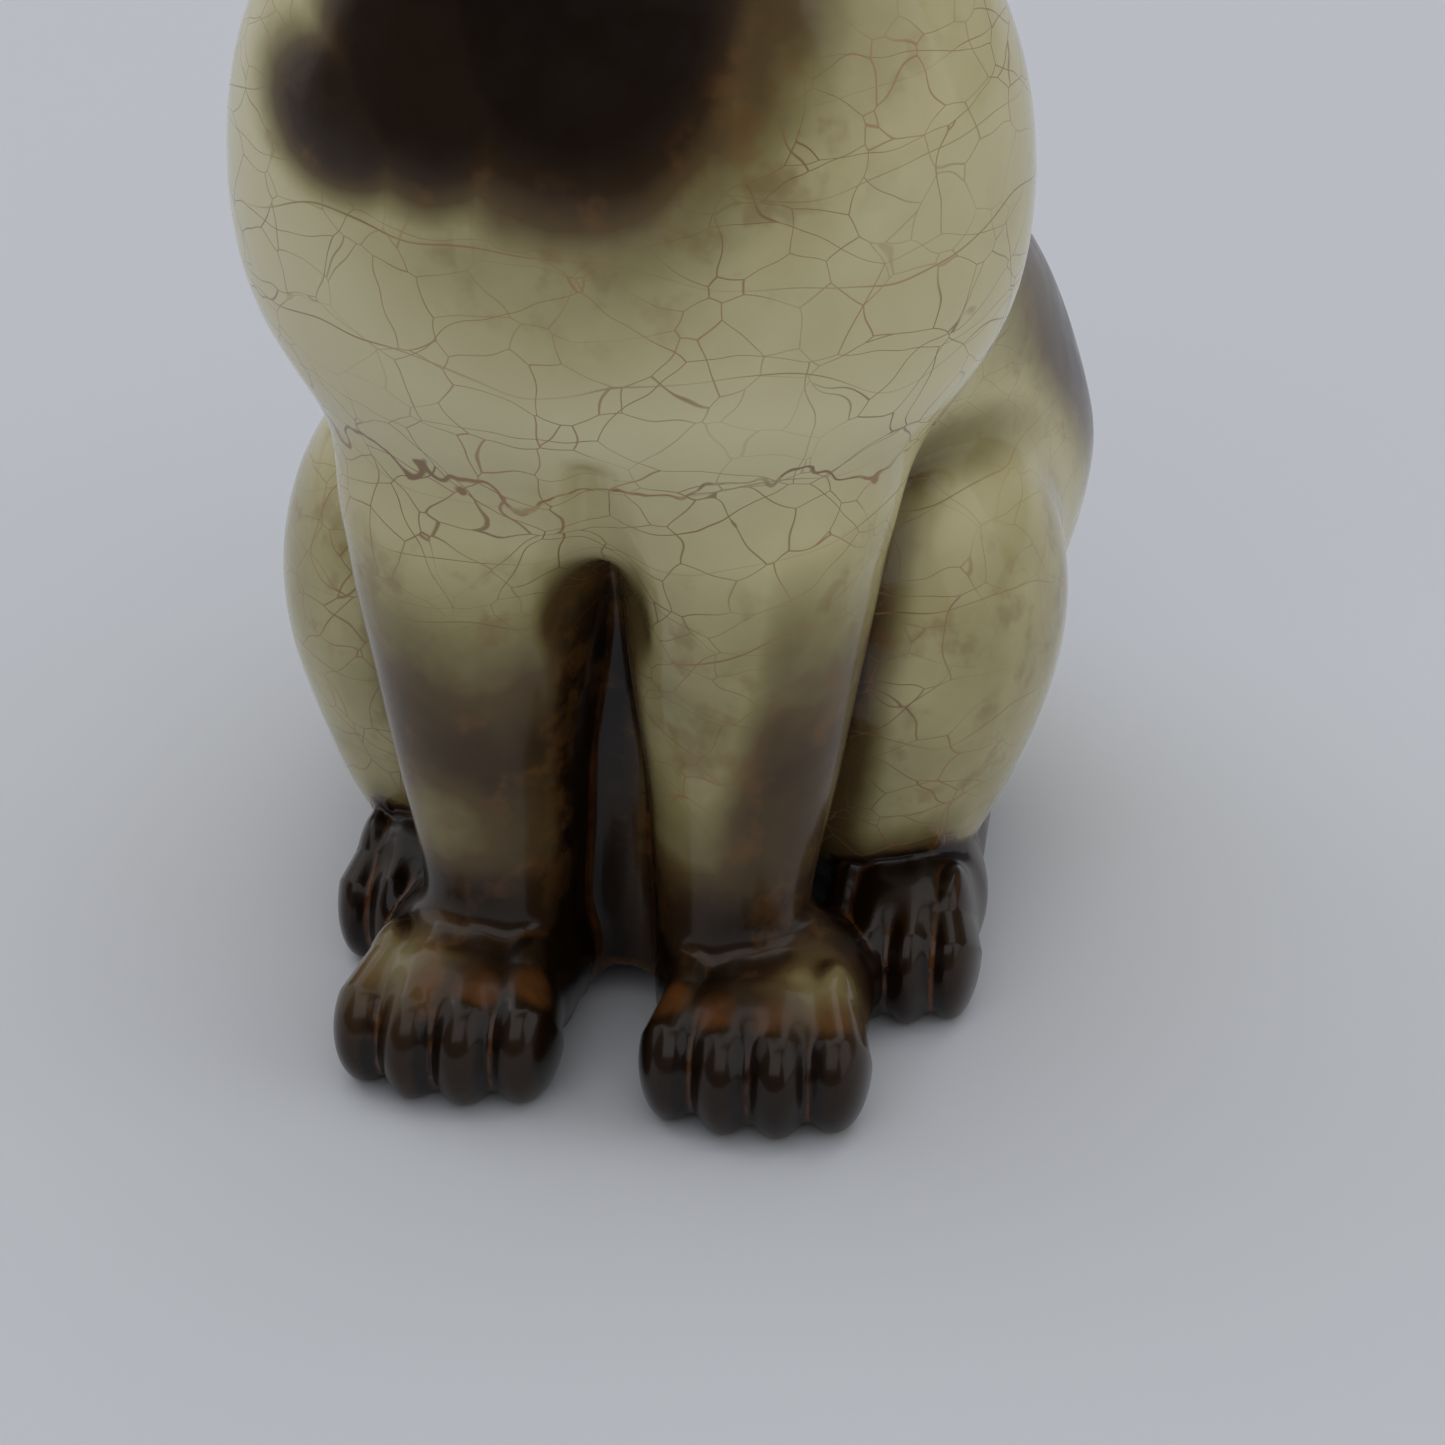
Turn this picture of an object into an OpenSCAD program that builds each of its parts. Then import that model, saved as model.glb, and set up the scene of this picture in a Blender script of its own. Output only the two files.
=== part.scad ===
// Seated cat figurine: slip-cast sections luted together, glazed and fired.
// Own frame: the cat faces -Y, +Z is up, origin at the centre of the bottom of its bounding box.
// "Left" and "right" are the cat's own: its left side is at +X.

/* [Body] */
// Width across the chest
chest_w = 66; // [63:0.5:69]
// Height of the widest part of the chest
chest_z = 74; // [72.5:0.5:76]
// How far the chest bulges forward of the neck axis
chest_depth = 31; // [29.5:0.5:32.5]
// How far the rump reaches behind the neck axis
rump_back = 55; // [53:0.5:57]
// Height of the luted seam between neck and head
neck_z = 118; // [116:0.5:121]
// Width of the neck at the seam
neck_w = 35; // [33:0.5:37]
// Wall of the cast sections
wall = 4; // [3.25:0.25:4.5]
// Diameter of the vent hole under the belly
vent_d = 7; // [5:0.5:9]

/* [Forelegs] */
// Distance between the two foreleg axes at the wrist
wrist_gap = 17; // [16.5:0.25:18]
// Width of a foreleg at the wrist
wrist_w = 12.5; // [12:0.25:13]
// Width of a forepaw
paw_w = 19.5; // [18.5:0.25:20.5]
// How far each forepaw points outwards, in degrees
paw_turn = 3; // [0:1:6]

/* [Hind legs] */
// Distance from the middle plane to the outside of a haunch
haunch_out = 35; // [34:0.25:36]
// Height of a haunch
haunch_h = 58; // [56:0.5:60]
// Width of a hind foot
foot_w = 14; // [13:0.25:15]

/* [Head] */
// Width across the cheeks
head_w = 41; // [39:0.5:43]
// Height of an ear above the skull
ear_h = 22; // [20:0.5:25]

/* [Tail] */
// Diameter of the tail at its root
tail_d = 12; // [11:0.25:13]

/* [Hidden] */

// points round a ring, a large ball and a small ball
ring_n = 32;
ball_n = 26;
toe_n = 16;
// where the neck axis crosses the floor, so that the bounding box is centred on the origin
axis_y = -14.18;
half_w = chest_w / 2;
glaze = [0.86, 0.82, 0.70];
points_brown = [0.24, 0.17, 0.12];
// a size that is larger than the whole figurine
big = 400;

// Torso rings, measured from the neck axis: [height, centre y, half width, front reach, back reach]
TORSO = [
    [2, 29, 16, 14, 18],
    [4.5, 29, 21, 19, 22.5],
    [11, 29, 25, 23.5, rump_back - 29.5],
    [20, 29.5, half_w - 5.5, 27, rump_back - 28.5],
    [31, 30, half_w - 3.5, 30.5, rump_back - 29.7],
    [40, 29, half_w - 0.8, 34, rump_back - 30],
    [47, 26, half_w + 0.6, 37.5, rump_back - 29],
    [54, 20, half_w + 0.4, 42, rump_back - 26],
    [61, 10, half_w, 38.5, rump_back - 20.7],
    [67, 0, half_w - 0.3, 30.5, rump_back - 15.8],
    [chest_z, -4, half_w, chest_depth - 4, rump_back - 18],
    [81, -5, half_w - 0.3, chest_depth - 5, rump_back - 22],
    [88, -5, half_w - 1.4, chest_depth - 6, rump_back - 27],
    [94, -4.5, half_w - 3.8, chest_depth - 7.5, 24],
    [100, -4.5, half_w - 7.3, chest_depth - 9.5, 21.5],
    [106, -4.5, half_w - 11.5, 19.5, 19.2],
    [112, -4.5, neck_w / 2 + 0.9, 17.8, 17.5],
    [neck_z, -5, neck_w / 2, 16.8, 16.8]
];

// Foreleg rings on the left side: [height, centre x, centre y, half width, half depth]
wrist_x = wrist_gap / 2;
wrist_r = wrist_w / 2;
LEG = [
    [0, wrist_x + 1.6, -14, wrist_r, 6.4],
    [1.5, wrist_x + 1.6, -14, wrist_r + 1, 7.4],
    [7, wrist_x + 1, -13.6, wrist_r + 0.6, 7.4],
    [12, wrist_x, -13.2, wrist_r + 0.1, 7],
    [18, wrist_x, -12.9, wrist_r + 0.5, 7.3],
    [26, wrist_x + 0.3, -12.7, wrist_r + 1.8, 8.2],
    [35, wrist_x + 1.1, -12.6, wrist_r + 3.5, 9.8],
    [44, wrist_x + 2, -12.4, wrist_r + 5.2, 12],
    [52, wrist_x + 2.4, -11, wrist_r + 6.4, 14],
    [60, wrist_x + 1.6, -6, wrist_r + 5.8, 14],
    [66, wrist_x + 0.5, -2, wrist_r + 3, 10]
];

// The points of a level oval whose edge reaches differently far in front of its centre and behind it.
function oval(z, cx, cy, rx, front, back) = [
    for (i = [0 : ring_n - 1])
        let (a = 360 * i / ring_n)
            [cx + rx * cos(a), cy + axis_y + (sin(a) < 0 ? front : back) * sin(a), z]
];

// The solid between two such ovals.
module span(a, b) {
    hull()
        polyhedron(
            points = concat(a, b),
            faces = [[for (i = [0 : ring_n - 1]) i], [for (i = [0 : ring_n - 1]) ring_n + i]]
        );
}

// A stack of solids through a list of ovals.
module loft(ovals) {
    for (i = [0 : len(ovals) - 2])
        span(ovals[i], ovals[i + 1]);
}

// A ball stretched to half sizes r, with n points round it, at p from the neck axis.
module ball(p, r, n = ball_n, turn = 0) {
    translate([p[0], p[1] + axis_y, p[2]])
        rotate(turn)
            scale(r)
                sphere(1, $fn = n);
}

// Everything above the floor.
module above_floor() {
    translate([-big / 2, -big / 2, 0])
        cube([big, big, big]);
}

function torso_oval(s, inset, up = 0) =
    oval(s[0] + up, 0, s[1], s[2] - inset, s[3] - inset, s[4] - inset);

module torso_outside() {
    loft([for (s = TORSO) torso_oval(s, 0)]);
    web();
}

// The hollow of the torso, open at the top.
module torso_inside() {
    last = TORSO[len(TORSO) - 1];
    loft(concat(
        [for (i = [1 : len(TORSO) - 1]) torso_oval(TORSO[i], wall)],
        [torso_oval(last, wall, 2)]
    ));
}

// The web that joins the forelegs, with a low arch left under it.
web_y = -7;
web_t = 4;
web_top = 52;
web_w = 7.5;
arch_w = 8;
arch_h = 4;

module web() {
    difference() {
        loft([
            oval(0, 0, web_y, web_w - 1, web_t, web_t),
            oval(web_top / 2, 0, web_y, web_w + 1, web_t, web_t + 3),
            oval(web_top, 0, web_y + 4, web_w + 5, web_t + 3, web_t + 3)
        ]);
        translate([0, big / 2, 0])
            rotate([90, 0, 0])
                scale([1, 2 * arch_h / arch_w, 1])
                    cylinder(d = arch_w, h = big, $fn = ring_n);
    }
}

module torso() {
    color(glaze)
        difference() {
            torso_outside();
            torso_inside();
            translate([0, axis_y + 29, -1])
                cylinder(d = vent_d, h = 12, $fn = 24);
        }
}

// A paw whose heel is at the origin: a domed back and four toes side by side, the middle ones ahead.
toe_bend = 1.1;

module paw(w, l, h) {
    pitch = w / 4.3;
    hull() {
        ball([0, -axis_y + 1, h * 0.42], [w / 2 - 1, 8.5, h * 0.56], 20);
        ball([0, -axis_y - l + 8.2, h * 0.38], [w / 2 - 0.4, 6.4, h * 0.53], 20);
    }
    for (k = [-1.5 : 1 : 1.5])
        hull() {
            ball([k * pitch * 0.96, -axis_y - l * 0.42, h * 0.42], [pitch * 0.6, 5, h * 0.42], toe_n);
            ball([k * pitch, -axis_y - l + 4.6 + abs(k) * toe_bend, h * 0.31], [pitch * 0.6, 4.4, h * 0.37], toe_n);
        }
}

paw_h = 12.5;
paw_l = 16;
paw_x = wrist_x + 4.6;

module foreleg_shape() {
    loft([for (s = LEG) oval(s[0], s[1], s[2], s[3], s[4], s[4])]);
    intersection() {
        translate([paw_x, axis_y - 14, 0])
            rotate(paw_turn)
                paw(paw_w, paw_l, paw_h);
        above_floor();
    }
}

// One foreleg, fitted to the torso and its web.
module foreleg() {
    color(glaze)
        difference() {
            foreleg_shape();
            torso_outside();
            translate([-big, -big / 2, -1])
                cube([big, big, big]);
        }
}

module foreleg_left() {
    foreleg();
}

module foreleg_right() {
    mirror([1, 0, 0])
        foreleg();
}

haunch_x = haunch_out - 15;
haunch_mid = haunch_h / 2;

module haunch_shape() {
    intersection() {
        union() {
            hull() {
                ball([haunch_x, 17, haunch_mid + 1], [15, 22, haunch_mid - 3]);
                ball([haunch_x - 1, 11, haunch_mid + 4], [13.5, 17, haunch_mid - 4]);
                ball([haunch_x - 1, 30, haunch_mid - 1], [15, 17, haunch_mid - 6]);
            }
            hull() {
                ball([haunch_x, 16, 20], [13.5, 18, 13]);
                ball([haunch_x - 1, 29, 13], [13.5, 16, 13.5]);
            }
        }
        above_floor();
    }
}

foot_h = 13;
foot_x = haunch_out - 13;
foot_y = 2;
foot_l = 14.5;

module hind_foot_shape() {
    intersection() {
        union() {
            translate([foot_x, axis_y + foot_y, 0])
                paw(foot_w, foot_l, foot_h);
            hull() {
                ball([foot_x, foot_y, foot_h * 0.4], [foot_w / 2 - 1, 8, foot_h * 0.5], 20);
                ball([foot_x - 1, foot_y + 26, foot_h * 0.36], [foot_w / 2 - 1.5, 8, foot_h * 0.42], 20);
            }
        }
        above_floor();
    }
}

// A haunch, fitted over the torso and the hind foot below it.
module haunch() {
    color(glaze)
        difference() {
            haunch_shape();
            torso_outside();
            foreleg_shape();
            hind_foot_shape();
        }
}

module haunch_left() {
    haunch();
}

module haunch_right() {
    mirror([1, 0, 0])
        haunch();
}

module hind_foot() {
    color(points_brown)
        difference() {
            hind_foot_shape();
            torso_outside();
        }
}

module hind_foot_left() {
    hind_foot();
}

module hind_foot_right() {
    mirror([1, 0, 0])
        hind_foot();
}

head_y = -10;
head_z = neck_z + 20;
cheek = head_w / 2;
// the part of the neck that is cast with the head, in even steps up into the skull
neck_steps = 4;
neck_up = 14;

function neck_oval(t, inset, up = 0) =
    let (r = 16.8 - 2 * t - inset)
        oval(neck_z + t * neck_up + up, 0, -5 - 3 * t, neck_w / 2 - t - inset, r, r);

module head_outside() {
    hull() {
        ball([0, head_y + 6, head_z + 3], [cheek - 2, 19, 16]);
        ball([0, head_y - 1, head_z - 3], [cheek, 14, 11.5]);
    }
    hull() {
        ball([0, head_y - 7, head_z - 3], [14, 10, 10]);
        ball([0, head_y - 14.5, head_z - 6], [8.5, 7, 6.2]);
    }
    hull() {
        ball([0, head_y - 6, head_z + 7], [7, 6, 6], 20);
        ball([0, head_y - 18.5, head_z - 3], [3.4, 3, 2.8], 20);
    }
    for (side = [-1, 1])
        eye(side);
    loft([for (i = [0 : neck_steps]) neck_oval(i / neck_steps, 0)]);
}

// The almond-shaped rise of one eye.
module eye(side) {
    hull() {
        ball([side * 8, head_y - 11.5, head_z + 2], [3.6, 3, 3.4], 20);
        ball([side * 12, head_y - 9.5, head_z + 3.6], [2.6, 2.6, 2.2], 20);
    }
}

module head() {
    color(points_brown)
        difference() {
            head_outside();
            ball([0, head_y + 5, head_z + 1], [cheek - 1 - wall, 18 - wall, 16 - wall]);
            loft([neck_oval(0, wall, -1), neck_oval(0, wall, 0), neck_oval(1, wall)]);
        }
}

// Ear rings run from the skull to the tip.
ear_steps = 6;
ear_base = [11, head_y + 5, head_z + 11];
ear_tip = [17.5, head_y + 3, head_z + 19 + ear_h];
ear_r = 8.7;

module ear_leaf(t, inset) {
    p = ear_base + (ear_tip - ear_base) * t;
    ball(p, [ear_r * pow(1 - t, 0.7) + 1.1 - inset * 0.5, 4.2 - 2.8 * t, 2.5], toe_n, 16);
}

module ear_blade(inset) {
    for (i = [0 : ear_steps - 1])
        hull() {
            ear_leaf(i / ear_steps, inset);
            ear_leaf((i + 1) / ear_steps, inset);
        }
}

// An upright ear, hollowed in front, standing on the skull.
module ear() {
    color(points_brown)
        difference() {
            ear_blade(0);
            translate([0.6, -2.6, -1.5])
                ear_blade(2.4);
            head_outside();
        }
}

module ear_left() {
    ear();
}

module ear_right() {
    mirror([1, 0, 0])
        ear();
}

// The tail leaves the rump low down, just past the middle, and lies round the right side of it.
tail_steps = 12;
tail_start = 82;
tail_end = 146;
tail_rx = 31;
tail_ry = 29;
tail_mid_y = 28;

module tail_ball(t) {
    a = tail_start + (tail_end - tail_start) * t;
    r = tail_d / 2 * (1 - 0.3 * t);
    ball([tail_rx * cos(a), tail_mid_y + tail_ry * sin(a) - r * 0.5, r - 0.4], [r, r, r], 20);
}

module tail() {
    color(points_brown)
        difference() {
            intersection() {
                union() {
                    for (i = [0 : tail_steps - 1])
                        hull() {
                            tail_ball(i / tail_steps);
                            tail_ball((i + 1) / tail_steps);
                        }
                }
                above_floor();
            }
            torso_outside();
            mirror([1, 0, 0])
                haunch_shape();
            haunch_shape();
        }
}

torso();
head();
ear_left();
ear_right();
foreleg_left();
foreleg_right();
haunch_left();
haunch_right();
hind_foot_left();
hind_foot_right();
tail();
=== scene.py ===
import math

import bpy
import numpy as np
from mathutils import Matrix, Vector


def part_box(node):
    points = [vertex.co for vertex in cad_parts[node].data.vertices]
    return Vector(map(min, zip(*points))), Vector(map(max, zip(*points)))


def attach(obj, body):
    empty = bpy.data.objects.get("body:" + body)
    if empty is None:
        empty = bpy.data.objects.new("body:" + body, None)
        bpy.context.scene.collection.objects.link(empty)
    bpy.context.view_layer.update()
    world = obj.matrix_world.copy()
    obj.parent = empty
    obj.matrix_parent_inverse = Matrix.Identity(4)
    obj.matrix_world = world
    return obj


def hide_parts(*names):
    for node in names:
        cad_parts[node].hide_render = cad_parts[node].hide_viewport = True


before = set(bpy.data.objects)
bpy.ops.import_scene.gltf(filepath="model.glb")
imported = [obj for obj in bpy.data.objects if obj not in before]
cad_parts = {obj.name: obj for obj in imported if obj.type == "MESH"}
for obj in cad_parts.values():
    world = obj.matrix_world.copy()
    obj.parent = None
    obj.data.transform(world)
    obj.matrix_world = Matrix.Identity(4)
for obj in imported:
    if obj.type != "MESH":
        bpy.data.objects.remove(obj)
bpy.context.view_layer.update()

# Shapes are worked out in millimetres, with y measured from the neck axis and z from the floor.
MM = 0.001
RUMP_REACH = 55.3  # how far the rump lies behind the neck axis in the CAD
AXIS_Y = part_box("torso")[1].y / MM - RUMP_REACH
VOXEL = 0.8  # edge of a grid cell, so about the edge of a face
TINY = 1e-6  # keeps divisions away from zero


# ---------------------------------------------------------------- distance helpers
def smin(a, b, k):
    """Union of two solids with a fillet about k wide."""
    h = np.maximum(k - np.abs(a - b), 0) / k
    return np.minimum(a, b) - h * h * h * k / 6


def smax(a, b, k):
    """What two solids share, with its edge rounded by about k."""
    return -smin(-a, -b, k)


def step(lo, hi, x):
    """0 where x is at lo or beyond, 1 at hi or beyond, smooth between; lo may be above hi."""
    t = np.clip((x - lo) / (hi - lo), 0, 1)
    return t * t * (3 - 2 * t)


def ball(p, c, r):
    """Distance to an ellipsoid, good near its surface."""
    q = (p - np.asarray(c)) / np.asarray(r)
    k0 = np.sqrt((q * q).sum(1)) + TINY
    g = q / np.asarray(r)
    k1 = np.sqrt((g * g).sum(1)) + TINY
    return k0 * (k0 - 1) / k1


def sweep(p, a, ra, b, rb):
    """An ellipsoid that slides from a to b while its half sizes go from ra to rb."""
    a, ra, b, rb = (np.asarray(v, float) for v in (a, ra, b, rb))
    d = b - a
    t = np.clip(((p - a) @ d) / (d @ d), 0, 1)[:, None]
    r = ra + t * (rb - ra)
    q = (p - a - t * d) / r
    k0 = np.sqrt((q * q).sum(1)) + TINY
    k1 = np.sqrt(((q / r) ** 2).sum(1)) + TINY
    return k0 * (k0 - 1) / k1


class Loft:
    """Level ovals stacked in z and smoothed: rows are (z, x, y, half width, front reach, back reach)."""

    FINE = 0.1  # spacing of the smoothed table
    BEYOND = 12  # how far the table goes on past the first and last rows
    SOFT = 2.5  # width of the smoothing
    TAIL = 4  # the smoothing stops at this many widths

    def __init__(self, rows):
        rows = np.array(rows, float)
        self.z = np.arange(rows[0, 0] - self.BEYOND, rows[-1, 0] + self.BEYOND, self.FINE)
        half = int(self.SOFT * self.TAIL / self.FINE)
        w = np.exp(-0.5 * (np.arange(-half, half + 1) * self.FINE / self.SOFT) ** 2)
        w /= w.sum()
        self.cols, self.slopes = [], []
        for j in range(1, 6):
            v = np.interp(self.z, rows[:, 0], rows[:, j])
            v = np.convolve(np.pad(v, half, mode="edge"), w, "valid")
            self.cols.append(v)
            self.slopes.append(np.gradient(v, self.FINE))

    def __call__(self, x, y, z):
        cx, cy, rx, rf, rb = (np.interp(z, self.z, c) for c in self.cols)
        dcx, dcy, drx, drf, drb = (np.interp(z, self.z, c) for c in self.slopes)
        u, v = x - cx, y - cy
        front = v < 0
        ry, dry = np.where(front, rf, rb), np.where(front, drf, drb)
        rad = np.sqrt((u / rx) ** 2 + (v / ry) ** 2) + TINY
        gx, gy = u / rx**2 / rad, v / ry**2 / rad
        gz = -(u * u * drx / rx**3 + v * v * dry / ry**3) / rad - dcx * gx - dcy * gy
        return (rad - 1) / np.sqrt(gx * gx + gy * gy + gz * gz + 1e-9)


# ---------------------------------------------------------------- the cat's measures, close to the CAD's
CHEST = Loft(
    [
        (46, 0, -6, 12, 12, 14),
        (50, 0, -6, 17, 15.5, 20),
        (54, 0, -6, 21.8, 18.5, 25),
        (57.5, 0, -5.5, 25.3, 21, 28),
        (61, 0, -5, 28.2, 23.6, 31),
        (65, 0, -5, 30.8, 25.3, 33),
        (70, 0, -5, 32.4, 26.1, 34),
        (76, 0, -5, 33, 26.4, 34.5),
        (82, 0, -5, 32.7, 26.1, 32.5),
        (88, 0, -5, 31.7, 25.1, 28.2),
        (94, 0, -4.5, 29.3, 23.6, 24.1),
        (100, 0, -4.5, 25.8, 21.5, 21.5),
        (106, 0, -4.5, 21.5, 19.3, 19.2),
        (112, 0, -4.5, 18.6, 17.6, 17.5),
        (118, 0, -5, 17.4, 16.6, 16.8),
        (125, 0, -6.6, 16.9, 15.8, 16),
        (132, 0, -8, 16.5, 15, 15),
    ]
)
RUMP = Loft(
    [
        (2, 0, 29, 16, 14, 18),
        (4.5, 0, 29, 21, 19, 22.5),
        (11, 0, 29.5, 27, 23.5, 25),
        (20, 0, 30.5, 31, 27, 25.5),
        (31, 0, 31.5, 34.2, 31, 24.5),
        (38, 0, 31, 35.2, 31.5, 24.5),
        (44, 0, 29, 34.2, 32, 24.8),
        (51, 0, 26, 32.8, 32, 24.8),
        (58, 0, 22, 31, 31, 25),
        (65, 0, 16, 28.3, 27, 25.5),
        (72, 0, 9, 24, 22, 27),
        (79, 0, 2, 21, 16, 28.5),
        (86, 0, -4, 16, 10, 27),
    ]
)
LEG = Loft(
    [
        (0, 11, -14, 6.6, 6.8, 6.8),
        (7, 10.6, -13.6, 6.9, 7.4, 7.4),
        (12, 10, -13.2, 6.5, 7, 7),
        (18, 10.3, -12.9, 7.1, 7.3, 7.3),
        (26, 11, -12.7, 8.1, 8.2, 8.2),
        (35, 11.1, -12.6, 9.5, 9.8, 9.8),
        (44, 11.5, -12.4, 10.7, 12, 12),
        (52, 12, -11, 11.2, 14, 14),
        (60, 10.6, -6, 11.5, 14, 14),
        (66, 9, -2, 9.2, 10, 10),
    ]
)
WEB = Loft(
    [
        (0, 0, -7, 6.5, 4, 4),
        (26, 0, -7, 8.5, 4, 7),
        (52, 0, -3, 12.5, 7, 7),
    ]
)
NECK_Z = 118.0  # seam between neck and head
HEAD_Y, HEAD_Z = -10.0, 138.0  # middle of the head
# heel, width, length, height, outward turn in degrees and fillet between toes
PAW = dict(y=-14.4, w=20.2, l=18.0, h=13.0, turn=3.0, web=2.2)
FOOT = dict(y=2.0, w=15.5, l=15.0, h=13.5, turn=0.0, web=2.8)
# how far each heel stands from the middle plane
PAW_X = {"left": 13.8, "right": 11.8}
FOOT_X = {"left": 23.2, "right": 19.4}
TOES = (-1.5, -0.5, 0.5, 1.5)  # places across a paw, in toe widths
EYE = np.array([9.3, HEAD_Y - 10.9, HEAD_Z + 2.6])
EYE_R = (4.2, 3.0, 2.9)
VENT_Y, VENT_R, VENT_DEPTH = 29.0, 3.5, 8.0
ARCH_R = 4.0  # low arch under the web between the forelegs
WEB_TOP = 50.0
TORSO_TOP = 132.0
TAIL_JOINTS = 24
TAIL_FROM, TAIL_SWING = 74, 92  # where the tail starts round the rump and how far it goes, in degrees
TAIL_ROUND = (31.5, 28.5)  # half sizes of the oval that it follows
TAIL_R, TAIL_TAPER = 6.6, 0.42


def paw(p, x, y, w, l, h, turn, web):
    """A paw whose heel is at (x, y): a domed back and four toes, the middle ones ahead."""
    a = math.radians(-turn)
    u, v = p[:, 0] - x, p[:, 1] - y
    q = np.stack([u * math.cos(a) - v * math.sin(a), u * math.sin(a) + v * math.cos(a), p[:, 2]], 1)
    pitch = w / 4.3
    heel, heel_r = (0, 1, h * 0.42), (w / 2 - 1, 8.5, h * 0.56)
    ball_of_foot, ball_r = (0, 9.8 - l, h * 0.4), (w / 2 - 1.4, 6.4, h * 0.53)
    dome = sweep(q, heel, heel_r, ball_of_foot, ball_r)
    toes = None
    for k in TOES:
        bend = abs(k) * 1.5
        toe = sweep(
            q,
            (k * pitch * 0.84, -l * 0.34, h * 0.56),
            (pitch * 0.52, 4.4, h * 0.36),
            (k * pitch * 0.98, 5.6 - l + bend, h * 0.38),
            (pitch * 0.64, 5.6, h * 0.43),
        )
        toes = toe if toes is None else smin(toes, toe, web)
    return smin(dome, toes, 1.8)


def haunch(p):
    """The cat's left haunch: the thigh, and the shank folded under it."""
    d = ball(p, (20.5, 12, 31), (14.6, 19, 20))
    return smin(d, sweep(p, (19, 10, 16), (10.5, 14, 12), (18.5, 22, 15), (10, 14, 12)), 9)


def cleft(p):
    """The soft hollow above the gap between the forelegs."""
    upper = sweep(p, (1.2, -28.4, 60), [1.0] * 3, (0.8, -24.6, 50), [2.9] * 3)
    return np.minimum(upper, sweep(p, (0.8, -24.6, 50), [2.9] * 3, (0.3, -20.5, 43), [3.6] * 3))


def hind_foot(p, x):
    """A hind paw with the long foot that lies behind it."""
    bar = sweep(p, (x, 2, 5.2), (6, 8, 6.5), (x - 1, 26, 4.7), (5.5, 8, 5.5))
    return smin(paw(p, x, **FOOT), bar, 3)


def tail(p):
    """Short lengths laid round the back of the rump, thinner towards the tip."""
    path = []
    for i in range(TAIL_JOINTS + 1):
        t = i / TAIL_JOINTS
        a = math.radians(TAIL_FROM + TAIL_SWING * t)
        r = TAIL_R * (1 - TAIL_TAPER * t)
        x, y = TAIL_ROUND[0] * math.cos(a), TAIL_ROUND[1] * math.sin(a)
        path.append(((x, 28 + y - r * 0.4, r - 0.4 + 5 * (1 - t) ** 6), [r] * 3))
    return np.minimum.reduce([sweep(p, *a, *b) for a, b in zip(path, path[1:])])


def head(p):
    """The head without its ears, mirrored about x = 0."""
    q = p.copy()
    q[:, 0] = np.sqrt(p[:, 0] ** 2 + 0.04)  # |x|, rounded so that no ridge runs down the face
    y, z = HEAD_Y, HEAD_Z
    # skull, cheeks, muzzle, bridge of the nose, whisker pads and chin
    d = smin(ball(q, (0, y + 6, z + 3), (18.5, 19, 16)), ball(q, (0, y - 1, z - 3), (20, 14, 11.5)), 8)
    d = smin(d, sweep(q, (0, y - 6, z - 3), (13.5, 10, 9.6), (0, y - 14, z - 5.6), (8, 7, 6)), 6)
    d = smin(d, sweep(q, (0, y - 6, z + 7), (6.5, 6, 6), (0, y - 18, z - 2.6), (3.1, 3, 2.6)), 4)
    d = smin(d, ball(q, (3.9, y - 18.2, z - 7), (4.4, 3.8, 3.5)), 1.6)
    d = smin(d, ball(q, (0, y - 17, z - 10.8), (4, 3.6, 2.6)), 1.6)
    # brow and cheek bones round the eyes
    d = smin(d, sweep(q, (6.5, y - 11, z + 6.4), (2.4, 2.2, 1.5), (14, y - 5.5, z + 7.6), (2.2, 2.4, 1.3)), 6)
    socket = sweep(q, (7.2, y - 14.5, z + 1.4), (2.6, 2.2, 2), (12.6, y - 11, z + 4.4), (2, 2.4, 1.5))
    d = smax(d, -socket, 3.2)
    # nose leather, nostrils and mouth
    d = smin(d, ball(q, (0, y - 20.4, z - 3.2), (2.5, 1.7, 1.6)), 0.9)
    d = smax(d, -ball(q, (1.5, y - 22.2, z - 3.6), (0.8, 1, 0.6)), 0.6)
    lip = sweep(q, (0, y - 22.4, z - 5), (0.35, 1.4, 1.2), (0, y - 22.2, z - 7.6), (0.35, 1.4, 1))
    d = smax(d, -lip, 0.7)
    mouth = sweep(q, (0.2, y - 21.6, z - 8.4), (1.2, 1.6, 0.4), (6.6, y - 18.4, z - 8), (1, 2, 0.35))
    return smax(d, -mouth, 0.8)


def eyes(p):
    q = p.copy()
    q[:, 0] = np.abs(p[:, 0])
    return ball(q, EYE, EYE_R)


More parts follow.
